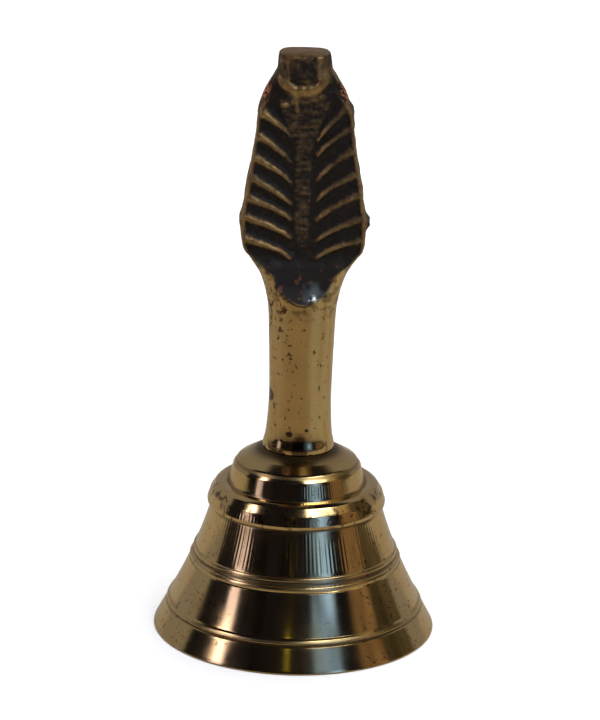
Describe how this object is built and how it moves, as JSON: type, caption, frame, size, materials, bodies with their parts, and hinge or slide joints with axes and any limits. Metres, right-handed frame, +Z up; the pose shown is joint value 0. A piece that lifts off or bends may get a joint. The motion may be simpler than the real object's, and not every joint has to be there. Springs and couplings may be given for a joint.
{
  "type": "hand bell",
  "caption": "Small turned brass hand bell with a leaf-shaped cast grip on a round stem and a ball clapper on a wire link.",
  "frame": {"origin": "on the bell's axis, in the plane of the rim that it stands on", "axes": "+Z up along the axis towards the handle's knob; -Y is the side seen in the reference view, facing one broad face of the leaf; +X to its right"},
  "size_m": [0.0528, 0.0527, 0.11],
  "materials": {
    "polished_brass": "lathe turned and polished, lightly tarnished",
    "cast_brass": "satin turned stem, dark patina in the cast leaf's hollows, ribs worn bright",
    "clapper_brass": "dull turned brass with strike marks",
    "hanger_steel": "dull zinc-coloured steel with some rust",
    "wire_steel": "drawn wire, darkened"
  },
  "bodies": {
    "bell": {"bell_cup": "polished_brass", "handle": "cast_brass", "hanger_bolt": "hanger_steel", "crown_washer": "hanger_steel", "crown_nut": "hanger_steel"},
    "link": {"clapper_link": "wire_steel"},
    "clapper": {"clapper_rod": "wire_steel", "clapper_ball": "clapper_brass"}
  },
  "joints": [
    {"name": "link_swing", "type": "hinge", "parent": "bell", "child": "link", "pos_m": [0, 0, 0.0246], "axis": [0, 1, 0], "range_deg": [-42, 42]},
    {"name": "clapper_swing", "type": "hinge", "parent": "link", "child": "clapper", "pos_m": [0, 0, 0.0198], "axis": [1, 0, 0], "range_deg": [-20, 20]}
  ]
}
